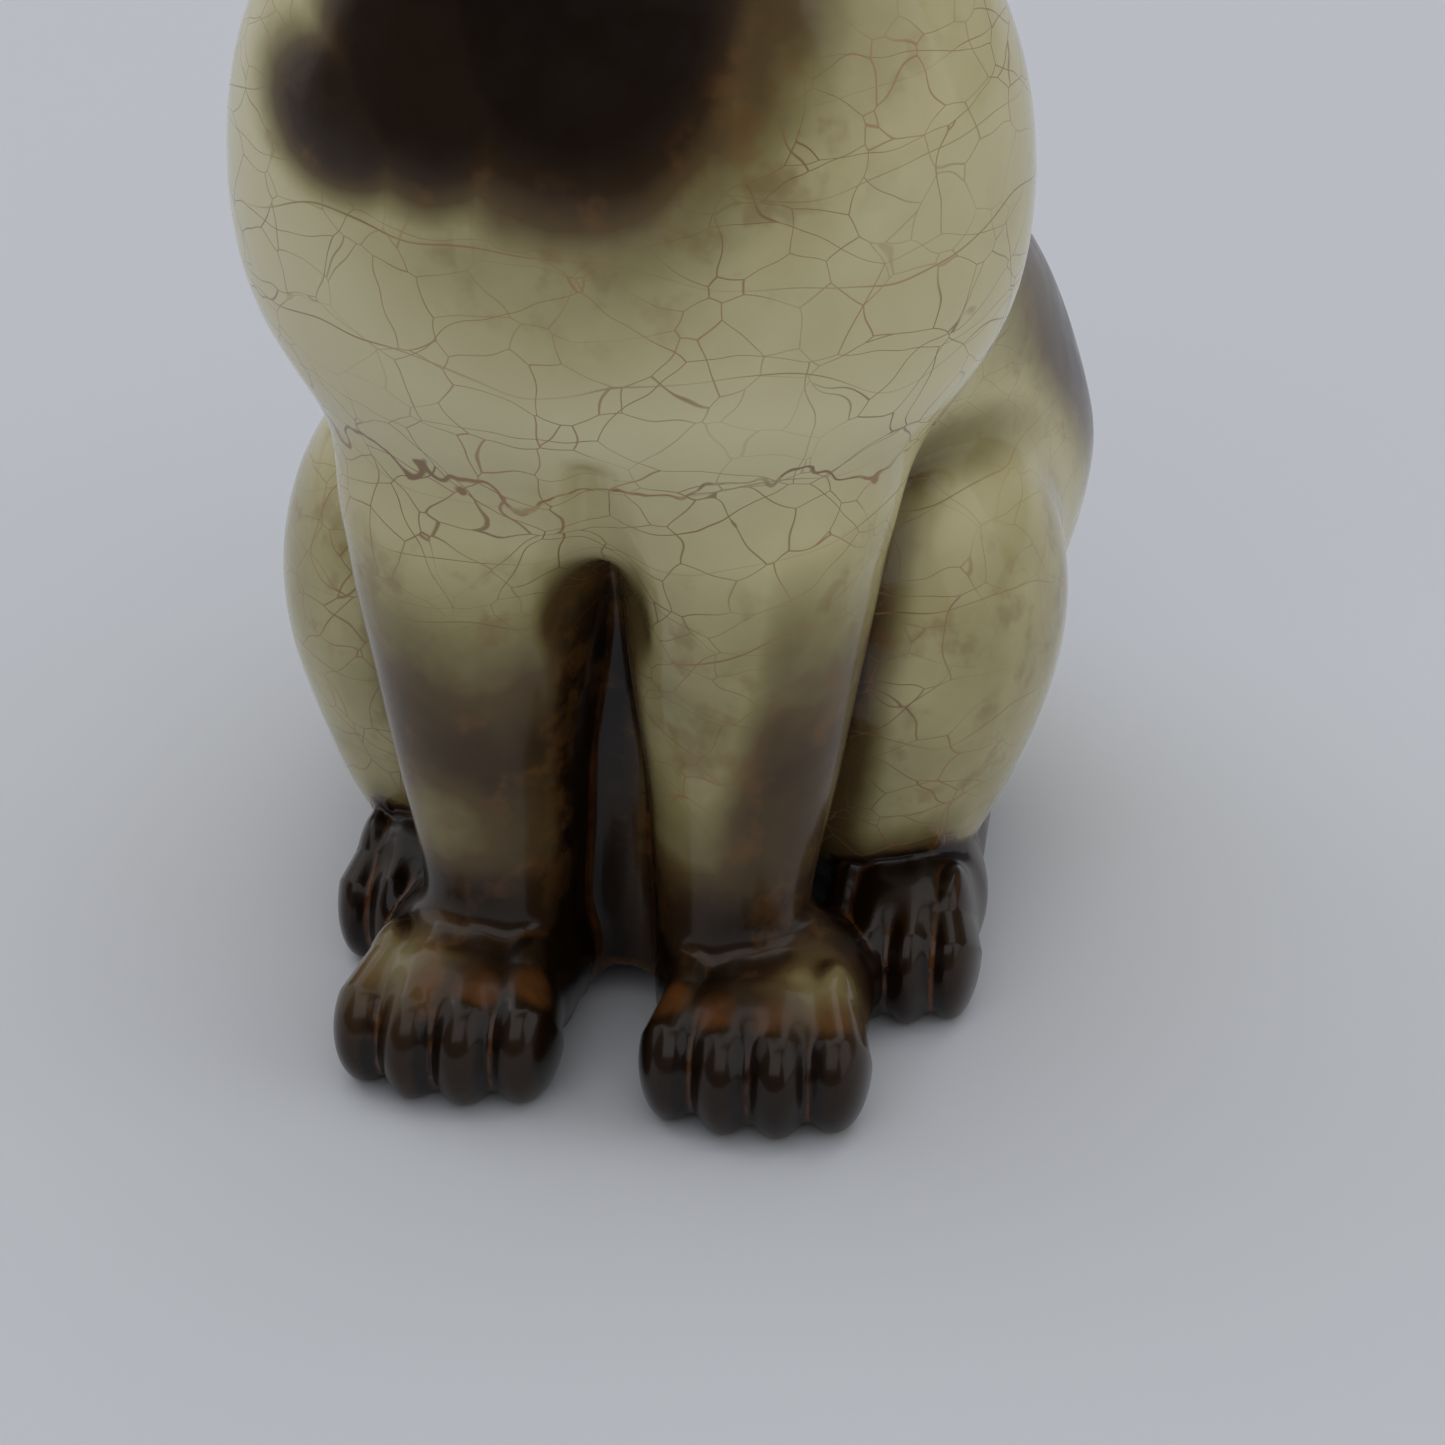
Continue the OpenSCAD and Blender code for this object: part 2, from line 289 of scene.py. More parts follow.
def ear(p):
    """The cat's left ear: a thin upright blade, hollowed in front."""
    base = np.array([10.0, HEAD_Y + 5, HEAD_Z + 11])
    tip = np.array([17.0, HEAD_Y + 2, HEAD_Z + 38.5])
    length = np.linalg.norm(tip - base)
    along = (tip - base) / length
    turn = math.radians(14)  # the opening faces a little outwards
    across = np.array([math.cos(turn), math.sin(turn), 0])
    across -= (across @ along) * along
    across /= np.linalg.norm(across)
    out = np.cross(along, across)

    def blade(q, grow, shift, thick):
        r = q - base - np.array(shift)
        s = r @ along
        t = np.clip(s / length, -0.1, 1)
        half = (9.0 * np.clip(1 - t, 0, 1.1) ** 0.75 + 1.5) * grow * (0.72 + 0.28 * step(-0.1, 0.28, t))
        deep = (3.9 - 2.5 * np.clip(t, 0, 1)) * thick
        q = np.stack([(r @ across) / half, (r @ out) / deep, (s - t * length) / 2], 1)
        k0 = np.sqrt((q * q).sum(1)) + TINY
        k1 = np.sqrt((q[:, 0] / half) ** 2 + (q[:, 1] / deep) ** 2 + (q[:, 2] / 2) ** 2) + TINY
        return k0 * (k0 - 1) / k1

    outer = blade(p, 1.0, (0, 0, 0), 1.0)
    inner = blade(p, 0.76, (0.5, -3.0, -1.5), 0.95)
    return smax(outer, -inner, 1.2)


NAMES = [
    "torso",
    "head",
    "ear_left",
    "ear_right",
    "foreleg_left",
    "foreleg_right",
    "haunch_left",
    "haunch_right",
    "hind_foot_left",
    "hind_foot_right",
    "tail",
]
TORSO, HEAD = NAMES.index("torso"), NAMES.index("head")
FAR = 25.0  # stands for any distance too large to matter


def only(p, lo, hi, fn):
    """fn at the points inside a box, and FAR elsewhere."""
    m = np.all((p > np.array(lo)) & (p < np.array(hi)), axis=1)
    out = np.full(len(p), FAR)
    if m.any():
        out[m] = fn(p[m])
    return out


def parts(p):
    """Distance to each cast section at points p."""
    x, y, z = p.T
    mir = p * np.array([-1.0, 1, 1])
    chest = only(p, (-50, -50, 36), (50, 60, 140), lambda q: CHEST(q[:, 0], q[:, 1], q[:, 2]))
    rump = only(p, (-50, -20, -9), (50, 80, 100), lambda q: RUMP(q[:, 0], q[:, 1], q[:, 2]))
    body = smin(smax(chest, 49 - z, 5), smax(rump, z - 86, 6), 6)
    web = only(p, (-22, -24, -9), (22, 14, 60), lambda q: WEB(q[:, 0], q[:, 1], q[:, 2]))
    arch = ARCH_R - np.sqrt(x * x + z * z)
    web = smax(smax(web, arch, 1.0), z - WEB_TOP, 4)
    body = smin(smax(body, 2 - z, 4), web, 3)
    d = {"torso": smax(body, z - TORSO_TOP, 6)}
    skull = only(p, (-32, -50, 112), (32, 24, 168), head)
    d["head"] = smin(skull, only(p, (-20, -32, 132), (20, -12, 149), eyes), 0.5)
    for side, q in (("left", p), ("right", mir)):
        leg = only(q, (-14, -40, -9), (40, 22, 76), lambda r: LEG(r[:, 0], r[:, 1], r[:, 2]))
        leg = smax(leg, z - 64, 5)
        foot = only(q, (-6, -46, -9), (36, 8, 24), lambda r: paw(r, PAW_X[side], **PAW))
        d["foreleg_" + side] = smin(leg, foot, 3.5)
        d["haunch_" + side] = only(q, (-6, -18, -9), (46, 60, 70), haunch)
        d["hind_foot_" + side] = only(q, (4, -28, -9), (40, 46, 24), lambda r: hind_foot(r, FOOT_X[side]))
        d["ear_" + side] = only(q, (-4, -22, 136), (34, 14, 190), ear)
    d["tail"] = only(p, (-42, 24, -9), (20, 76, 20), tail)
    return d


def cat(p, labels=False):
    """Distance to the whole glazed cat; with labels, also the nearest section and every distance."""
    d = parts(p)
    z = p[:, 2]
    legs = smin(d["foreleg_left"], d["foreleg_right"], 3.0)
    whole = smin(d["torso"], legs, 4 + 5 * step(34, 52, z))
    whole = smin(whole, d["head"], 7)
    for side in ("left", "right"):
        whole = smin(whole, d["haunch_" + side], 3.2)
        whole = smin(whole, d["hind_foot_" + side], 1.6)
        whole = smin(whole, d["ear_" + side], 3.0)
    whole = smin(whole, d["tail"], 3.0)
    whole = smax(whole, -z, 0.9)
    whole = smax(whole, -only(p, (-9, -38, 36), (11, -12, 68), cleft), 4.0)
    vent = np.sqrt(p[:, 0] ** 2 + (p[:, 1] - VENT_Y) ** 2) - VENT_R
    whole = smax(whole, -smax(vent, z - VENT_DEPTH, 0.5), 0.8)
    if not labels:
        return whole
    near = np.argmin(np.stack([d[n] for n in NAMES]), axis=0)
    near[(near == TORSO) & (z > NECK_Z)] = HEAD
    near[(near == HEAD) & (z <= NECK_Z)] = TORSO
    return whole, near, d


def slope(p, fn, h):
    """The gradient of fn at points p, from samples h to each side."""
    g = np.empty_like(p)
    for i in range(3):
        e = np.zeros(3)
        e[i] = h
        g[:, i] = (fn(p + e) - fn(p - e)) / (2 * h)
    return g


# ---------------------------------------------------------------- surface
def surface(fn, lo, hi, vox):
    """The zero surface of fn as (points, quads): surface nets on a grid worked out only near it."""
    lo, hi = np.array(lo, float), np.array(hi, float)
    block = 8  # cells along the edge of a block; only blocks near the surface are filled in
    n = (np.ceil((hi - lo) / vox / block).astype(int)) * block
    cells = n // block
    f = np.empty(n + 1, np.float32)
    ax = [lo[i] + vox * np.arange(n[i] + 1) for i in range(3)]
    mid = [lo[i] + vox * block * (np.arange(cells[i]) + 0.5) for i in range(3)]
    m = np.stack(np.meshgrid(*mid, indexing="ij"), -1).reshape(-1, 3)
    dm = fn(m).reshape(cells)
    f[:-1, :-1, :-1] = np.where(dm < 0, -FAR, FAR).repeat(block, 0).repeat(block, 1).repeat(block, 2)
    f[-1], f[:, -1], f[:, :, -1] = FAR, FAR, FAR
    todo = np.argwhere(np.abs(dm) < vox * block * 1.5 + 1.5)
    k = np.arange(block + 1)
    for part in np.array_split(todo, max(1, len(todo) // 400)):
        i, j, l = (part[:, c, None] * block + k for c in range(3))
        pts = np.empty((len(part), block + 1, block + 1, block + 1, 3))
        pts[..., 0] = ax[0][i][:, :, None, None]
        pts[..., 1] = ax[1][j][:, None, :, None]
        pts[..., 2] = ax[2][l][:, None, None, :]
        v = fn(pts.reshape(-1, 3)).reshape(pts.shape[:-1])
        f[i[:, :, None, None], j[:, None, :, None], l[:, None, None, :]] = v
    # one point in each cell that the surface crosses, at the mean of where it cuts the cell's edges
    inside = f < 0
    corners = [(a, b, c) for a in (0, 1) for b in (0, 1) for c in (0, 1)]
    total = np.zeros(n, np.int8)
    for a, b, c in corners:
        total += inside[a : n[0] + a, b : n[1] + b, c : n[2] + c]
    mixed = (total > 0) & (total < len(corners))
    cell = np.argwhere(mixed)
    index = np.full(n, -1, np.int64)
    index[mixed] = np.arange(len(cell))
    at, hits = np.zeros((len(cell), 3)), np.zeros(len(cell))
    for a in corners:
        for axis in range(3):
            if a[axis]:
                continue
            b = list(a)
            b[axis] = 1
            fa = f[tuple((cell + a).T)]
            fb = f[tuple((cell + b).T)]
            cut = (fa < 0) != (fb < 0)
            t = np.zeros(len(cell))
            t[cut] = fa[cut] / (fa[cut] - fb[cut])
            place = np.tile(np.array(a, float), (len(cell), 1))
            place[:, axis] = t
            at[cut] += place[cut]
            hits[cut] += 1
    points = lo + vox * (cell + at / hits[:, None])
    # one quad round each grid edge that the surface crosses
    quads = []
    for axis in range(3):
        o1, o2 = (axis + 1) % 3, (axis + 2) % 3
        up = [slice(None)] * 3
        up[axis] = slice(1, None)
        down = [slice(None)] * 3
        down[axis] = slice(None, -1)
        a, b = inside[tuple(down)], inside[tuple(up)]
        for sign in (0, 1):
            e = np.argwhere((a & ~b) if sign == 0 else (~a & b))
            e = e[(e[:, o1] > 0) & (e[:, o2] > 0)]
            c = []
            for s1, s2 in ((1, 1), (0, 1), (0, 0), (1, 0)):
                w = e.copy()
                w[:, o1] -= s1
                w[:, o2] -= s2
                c.append(index[tuple(w.T)])
            q = np.stack(c, 1)
            quads.append(q if sign == 0 else q[:, ::-1])
    return points, np.concatenate(quads)


SETTLE_STEPS, SETTLE_REACH, NORMAL_REACH = 3, 0.12, 0.15


def settle(p, fn, vox):
    """Moves points onto the zero surface and returns them with their outward normals."""
    p = p.copy()
    for _ in range(SETTLE_STEPS):
        g = slope(p, fn, SETTLE_REACH)
        v = fn(p)
        move = v[:, None] * g / ((g * g).sum(1)[:, None] + TINY)
        far = np.sqrt((move * move).sum(1))[:, None] + 1e-9
        p -= move * np.minimum(1, 0.5 * vox / far)
    g = slope(p, fn, NORMAL_REACH)
    return p, g / (np.sqrt((g * g).sum(1))[:, None] + 1e-9)


VOTE_ROUNDS = 5


def tidy_labels(quads, lab, count):
    """One label per quad: smoothed by vote, then every stray island given to its neighbour."""
    kinds = len(NAMES)
    face = np.stack([(lab[quads] == k).sum(1) for k in range(kinds)], 1).argmax(1)
    for _ in range(VOTE_ROUNDS):
        vote = np.zeros((count, kinds))
        for c in range(4):
            np.add.at(vote, (quads[:, c], face), 1)
        held = 0.01 * (face[:, None] == np.arange(kinds))  # a tie leaves the label as it is
        face = (vote[quads].sum(1) + held).argmax(1)
    edges = np.sort(np.concatenate([quads[:, [i, (i + 1) % 4]] for i in range(4)]), axis=1)
    owner = np.tile(np.arange(len(quads)), 4)
    key = edges[:, 0] * count + edges[:, 1]
    order = np.argsort(key, kind="stable")
    same = key[order][1:] == key[order][:-1]
    a, b = owner[order][:-1][same], owner[order][1:][same]
    # comp numbers the islands: quads joined by quads of the same label end with the same number
    comp = np.arange(len(quads))
    while True:
        link = face[a] == face[b]
        low = np.minimum(comp[a], comp[b])
        new = comp.copy()
        np.minimum.at(new, a[link], low[link])
        np.minimum.at(new, b[link], low[link])
        new = new[new]
        if (new == comp).all():
            break
        comp = new
    size = np.bincount(comp, minlength=len(quads))[comp]
    keep = np.zeros(len(quads), bool)
    for k in range(kinds):
        mine = face == k
        if mine.any():
            keep |= mine & (size == size[mine].max())
    while not keep.all():
        for u, v in ((a, b), (b, a)):
            m = keep[u] & ~keep[v]
            face[v[m]] = face[u[m]]
            keep[v[m]] = True
    return face


def rim_edges(quads, count):
    """Directed edges of the quads that no neighbouring quad shares."""
    e = np.concatenate([quads[:, [i, (i + 1) % 4]] for i in range(4)])
    fwd = e[:, 0] * count + e[:, 1]
    back = e[:, 1] * count + e[:, 0]
    return e[~np.isin(fwd, back)]


def finer(points, normals, quads, count):
    """Splits each quad in four; new points settle on the glaze except along the patch's own edge."""
    e = np.concatenate([quads[:, [i, (i + 1) % 4]] for i in range(4)])
    lo, hi = e.min(1), e.max(1)
    key, first, inv = np.unique(lo * count + hi, return_index=True, return_inverse=True)
    ends = np.stack([lo[first], hi[first]], 1)
    rim = rim_edges(quads, count)
    fixed = np.isin(key, rim.min(1) * count + rim.max(1))
    mid = points[ends].mean(1)
    mid_n = normals[ends].sum(1)
    mid_n /= np.sqrt((mid_n**2).sum(1))[:, None] + 1e-9
    mid[~fixed], mid_n[~fixed] = settle(mid[~fixed], cat, VOXEL * 0.5)
    core, core_n = settle(points[quads].mean(1), cat, VOXEL * 0.5)
    n0, n1 = len(points), len(mid)
    m = (n0 + inv).reshape(4, -1)
    c = n0 + n1 + np.arange(len(quads))
    out = [np.stack([quads[:, i], m[i], c, m[(i + 3) % 4]], 1) for i in range(4)]
    middle = {tuple(k): n0 + i for i, k in enumerate(ends.tolist()) if fixed[i]}
    return (
        np.concatenate([points, mid, core]),
        np.concatenate([normals, mid_n, core_n]),
        np.concatenate(out),
        middle,
    )


# ---------------------------------------------------------------- airbrushed colour
def blot(x, z, cx, cz, rx, rz, soft=0.3, power=2.0):
    """A soft-edged oval of colour seen from the front; a higher power makes it squarer."""
    r = (np.abs((x - cx) / rx) ** power + np.abs((z - cz) / rz) ** power) ** (1 / power)
    return step(1 + soft, 1 - soft, r)


def spot(p, c, r, soft=0.4):
    """A soft-edged ball of colour."""
    return step(r * (1 + soft), r * (1 - soft), np.sqrt(((p - np.array(c)) ** 2).sum(1)))


def paint(p, n):
    """How brown the glaze is at each point, painted shade in the gap between the forelegs and in the
    haunches' creases included, and the other marks the glaze follows.
    """
    d = cat(p, True)[2]
    x, y, z = p.T
    side = np.abs(x)
    mirrored = np.stack([side, y, z], 1)
    faces_back = n[:, 1]
    brown = np.zeros(len(p))

    def over(value, amount):
        """Sprays brown up to value; a second coat never lightens the first."""
        nonlocal brown
        brown = np.maximum(brown, value * np.clip(amount, 0, 1))

    # bib: faint at the cat's left, then each coat darker and smaller, with two lobes at its right
    front = step(0.35, -0.05, faces_back)
    over(0.1, step(8, 20, x) * step(60, 75, z) * step(125, 100, z))
    over(0.28, front * blot(x, z, 2, 100, 25, 27, 0.4))
    # a faint brown over everything below about z 58, fading out by z 70
    over(0.1, step(70, 58, z))
    over(0.6, front * blot(x, z, 4, 104, 16.5, 24, 0.4, 2.6))
    over(1.0, front * blot(x, z, 1, 105, 13.5, 22.5, 0.34, 2.6))
    over(0.95, front * blot(x, z, -11, 95, 10, 12, 0.4))
    over(0.9, front * blot(x, z, -18, 88.5, 7.5, 6.0, 0.55))
    # forelegs, the cat's left one browner on the outside, and painted shade in the gap between them
    leg = np.minimum(d["foreleg_left"], d["foreleg_right"])
    outer = step(-0.1, 0.9, (side - 9.5) / 8)
    turn = np.where(x < 0, 44, 25 + 20 * outer)
    on_leg = step(3.0, 0.5, leg)
    over(0.3, on_leg * step(60, 40, z))
    over(0.7, on_leg * step(turn + 17, turn - 15, z))
    over(0.84, on_leg * step(30, 15, z))
    # painted shade: the gap between the forelegs is darkened to brown where shade falls
    gap_shade = step(5.5, 1.6, np.abs(x + 1.6)) * step(-28.5, -22, y) * step(4, -6, y)
    over(0.8, gap_shade * step(53, 30, z))
    # paws and hind feet, with a lighter tan patch on the outer top of each forepaw
    paws = step(2.2, 0.2, leg) * step(16, 11, z)
    feet = step(1.6, 0.1, np.minimum(d["hind_foot_left"], d["hind_foot_right"]))
    over(0.93, paws)
    over(0.9, feet)
    tan = np.maximum(spot(p, (-17, -24, 10), 5.0, 0.8), spot(p, (19.4, -21, 10.5), 5.0, 0.8))
    # haunches, browner at their lower edge
    haunches = np.minimum(d["haunch_left"], d["haunch_right"])
    on_haunch = step(2.0, 0.2, haunches)
    over(0.25, on_haunch * step(50, 38, z))
    over(0.62, on_haunch * step(17, 6, z))
    # back: a saddle that reaches lower in the middle, a thinner coat round it, and the haunch's crease
    # darkened, partly as pooled glaze and partly as painted shade
    off_haunch = step(0.0, 8.0, haunches)
    spine = step(-6, 32, y + 8 * faces_back) * off_haunch
    low = 26 - 24 * step(0.35, 0.95, faces_back)
    over(0.9, spine * step(low, low + 22, z) * step(104, 50, z))
    thin_coat = step(0.1, 0.95, faces_back) * step(2, 20, z) * step(118, 70, z) * step(-8, 14, y)
    over(0.4, thin_coat * off_haunch)
    # painted shade, with some pooled glaze, in the crease where each haunch meets the torso
    over(0.42, step(6.0, 0.5, np.maximum(haunches, d["torso"])) * step(40, 52, z) * step(-10, 2, y))
    # tail, ears and face mask
    over(0.92, step(1.6, 0.2, d["tail"]))
    ears = np.minimum(d["ear_left"], d["ear_right"])
    over(0.9, step(2.5, 0.2, ears) * step(HEAD_Z + 9, HEAD_Z + 20, z))
    over(0.95, spot(p, (0, HEAD_Y - 18, HEAD_Z - 2), 14, 0.35))
    over(0.6, spot(p, (0, HEAD_Y - 20, HEAD_Z + 6), 15, 0.4))
    over(0.8, step(-0.1, -0.5, faces_back) * step(118, 124, z) * step(134, 128, z) * step(15, 9, side))
    brown *= 1 - 0.5 * tan
    brown *= 1 - 0.4 * spot(p, (-14, -19, 23), 4.5, 0.8)
    # in a hollow the surface is nearer than the distance gone out, and over an edge or a knuckle the
    # opposite surface is nearer than the distance gone in
    # hollow marks hollows and creases where the glaze is darkened: partly glaze pooling, partly painted shade
    hollow = np.zeros(len(p))
    for strength, reach in ((1.0, 3.0), (0.7, 1.2), (0.8, 7.0)):
        hollow = np.maximum(hollow, strength * (1 - cat(p + reach * n) / reach))
    sharp = 1 + cat(p - 1.6 * n) / 1.6
    for turn, reach in ((1, PAW_X["left"]), (-1, PAW_X["right"])):
        for k in TOES:
            knuckle = (turn * reach + k * 4.6, PAW["y"] - 12.2 + abs(k) * 1.4, 9.8)
            sharp = np.maximum(sharp, 0.6 * spot(p, knuckle, 2.3, 0.7))
    # painted eyes, and the bare clay that the cat stands on
    e = (mirrored - EYE) / np.array(EYE_R)
    on_eye = step(0.25, 0.0, d["head"]) * step(1.14, 1.0, np.sqrt((e**2).sum(1)))
    pupil = on_eye * step(1.2, 0.8, np.sqrt((e[:, 0] / 0.3) ** 2 + (e[:, 2] / 0.62) ** 2))
    bare = step(0.5, 0.3, z) * step(-0.8, -0.95, n[:, 2])
    return {
        "brown": np.clip(brown, 0, 1),
        "hollow": np.clip(hollow, 0, 1),
        "sharp": np.clip(sharp, 0, 1) * (1 - 0.7 * step(110, 118, z)),
        "eye": on_eye,
        "pupil": pupil,
        "bare": bare,
    }


# ---------------------------------------------------------------- pieces
def build(name, coarse, fine, wall):
    """A closed shell: the outer patch, the same patch one wall inside, and the rim between them."""
    points, normals, quads, middle = fine
    base_p, base_n, base_q = coarse
    used, below = np.unique(quads), np.unique(base_q)
    index = np.full(len(points), -1)
    index[used] = np.arange(len(used))
    inner = np.full(len(base_p), -1)
    inner[below] = len(used) + np.arange(len(below))
    p = np.concatenate([points[used], base_p[below] - wall * base_n[below]])
    n = np.concatenate([normals[used], base_n[below]])
    outer_faces = index[quads].tolist()
    inner_faces = inner[base_q[:, ::-1]].tolist()
    rim = []
    for a, b in rim_edges(base_q, len(base_p)).tolist():
        m = middle.get((min(a, b), max(a, b)))
        top = [index[b], index[a]] if m is None else [index[b], index[m], index[a]]
        rim.append([int(v) for v in top + [inner[a], inner[b]]])
    me = bpy.data.meshes.new(name)
    world = (p + np.array([0, AXIS_Y, 0])) * MM
    me.from_pydata(world.tolist(), [], outer_faces + inner_faces + rim)
    me.shade_smooth()
    # shading normals: the surface's own outside, turned round inside, and flat on the rim
    corner = np.empty(len(me.loops), np.int64)
    me.loops.foreach_get("vertex_index", corner)
    vn = n[corner]
    first_inner = 4 * len(outer_faces)
    first_rim = first_inner + 4 * len(inner_faces)
    vn[first_inner:first_rim] *= -1
    flat = np.empty(len(me.polygons) * 3)
    me.polygons.foreach_get("normal", flat)
    flat = flat.reshape(-1, 3)[len(outer_faces) + len(inner_faces) :]
    vn[first_rim:] = np.repeat(flat, [len(f) for f in rim], axis=0)
    me.normals_split_custom_set(vn.tolist())
    marks = paint(points[used], normals[used])
    for key, value in marks.items():
        full = np.zeros(len(p), np.float32)
        full[: len(used)] = value
        layer = me.attributes.new(key, "FLOAT", "POINT")
        layer.data.foreach_set("value", full)
    ob = bpy.data.objects.new(name, me)
    bpy.context.scene.collection.objects.link(ob)
    me.materials.append(GLAZE)
    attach(ob, "root")
    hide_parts(name)
    return ob


# ---------------------------------------------------------------- glaze
class Graph:
    """A node material; every helper returns an output socket."""

    def __init__(self, name):
        self.material = bpy.data.materials.new(name)
        self.material.use_nodes = True
        self.tree = self.material.node_tree
        self.shader = self.tree.nodes["Principled BSDF"]

    def add(self, kind, values=(), **settings):
        node = self.tree.nodes.new(kind)
        for key, value in settings.items():
            setattr(node, key, value)
        for key, value in dict(values).items():
            self.feed(node.inputs[key], value)
        return node

    def feed(self, socket, value):
        if isinstance(value, bpy.types.NodeSocket):
            self.tree.links.new(value, socket)
        elif isinstance(value, tuple) and len(value) == 3 and socket.type == "RGBA":
            socket.default_value = (*value, 1.0)
        else:
            socket.default_value = value

    def math(self, kind, a, b=0.0, c=0.0, clamp=False):
        return self.add("ShaderNodeMath", {0: a, 1: b, 2: c}, operation=kind, use_clamp=clamp).outputs[0]

    def ramp(self, value, lo, hi, out_lo=0.0, out_hi=1.0):
        """Smooth step of value from lo to hi."""
        node = self.add("ShaderNodeMapRange", interpolation_type="SMOOTHSTEP")
        for key, v in zip(range(5), (value, lo, hi, out_lo, out_hi)):
            self.feed(node.inputs[key], v)
        return node.outputs[0]

    def noise(self, where, scale, detail=2.0, rough=0.5):
        values = {"Vector": where, "Scale": scale, "Detail": detail, "Roughness": rough}
        return self.add("ShaderNodeTexNoise", values)

    def cells(self, where):
        """Distance to the nearest border between cells about one unit wide."""
        values = {"Vector": where, "Scale": 1.0}
        return self.add("ShaderNodeTexVoronoi", values, feature="DISTANCE_TO_EDGE").outputs["Distance"]

    def mix(self, factor, a, b):
        node = self.add("ShaderNodeMix", data_type="RGBA")
        self.feed(node.inputs[0], factor)
        self.feed(node.inputs[6], a)
        self.feed(node.inputs[7], b)
        return node.outputs[2]

    def mark(self, name):
        return self.add("ShaderNodeAttribute", attribute_name=name).outputs["Fac"]

    def colours(self, value, stops):
        """A colour ramp through (position, colour) stops."""
        node = self.add("ShaderNodeValToRGB", {"Fac": value})
        band = node.color_ramp
        band.interpolation = "LINEAR"
        while len(band.elements) < len(stops):
            band.elements.new(0.5)
        for element, (at, colour) in zip(band.elements, stops):
            element.position = at
            element.color = (*colour, 1.0)
        return node.outputs[0]


def vector(g, where, scale, warp=None, amount=0.0):
    """Coordinates stretched by scale, then pushed about by a noise colour."""
    out = g.add("ShaderNodeVectorMath", {0: where, 1: scale}, operation="MULTIPLY").outputs[0]
    if warp is None:
        return out
    centre = (0.5, 0.5, 0.5)
    mid = g.add("ShaderNodeVectorMath", {0: warp, 1: centre}, operation="SUBTRACT").outputs[0]
    push = g.add("ShaderNodeVectorMath", {0: mid, "Scale": amount}, operation="SCALE").outputs[0]
    return g.add("ShaderNodeVectorMath", {0: out, 1: push}, operation="ADD").outputs[0]


CREAM_TO_BROWN = [
    (0.0, (0.79, 0.72, 0.44)),
    (0.16, (0.62, 0.55, 0.29)),
    (0.36, (0.34, 0.29, 0.125)),
    (0.56, (0.135, 0.088, 0.034)),
    (0.78, (0.048, 0.025, 0.010)),
    (1.0, (0.011, 0.005, 0.002)),
]
THIN_GLAZE, FLECK, PINHOLE = (0.20, 0.072, 0.018), (0.22, 0.10, 0.028), (0.035, 0.02, 0.01)
EYE_BLUE, PUPIL_BLACK = (0.22, 0.42, 0.55), (0.01, 0.01, 0.012)
STAINS = (0.25, 0.125, 0.06), (0.42, 0.20, 0.085)
CLAYS = (0.50, 0.41, 0.29), (0.36, 0.28, 0.18)
SPLIT_HEIGHT = 0.0665  # of the heavy crack round the chest, in metres with half its waver


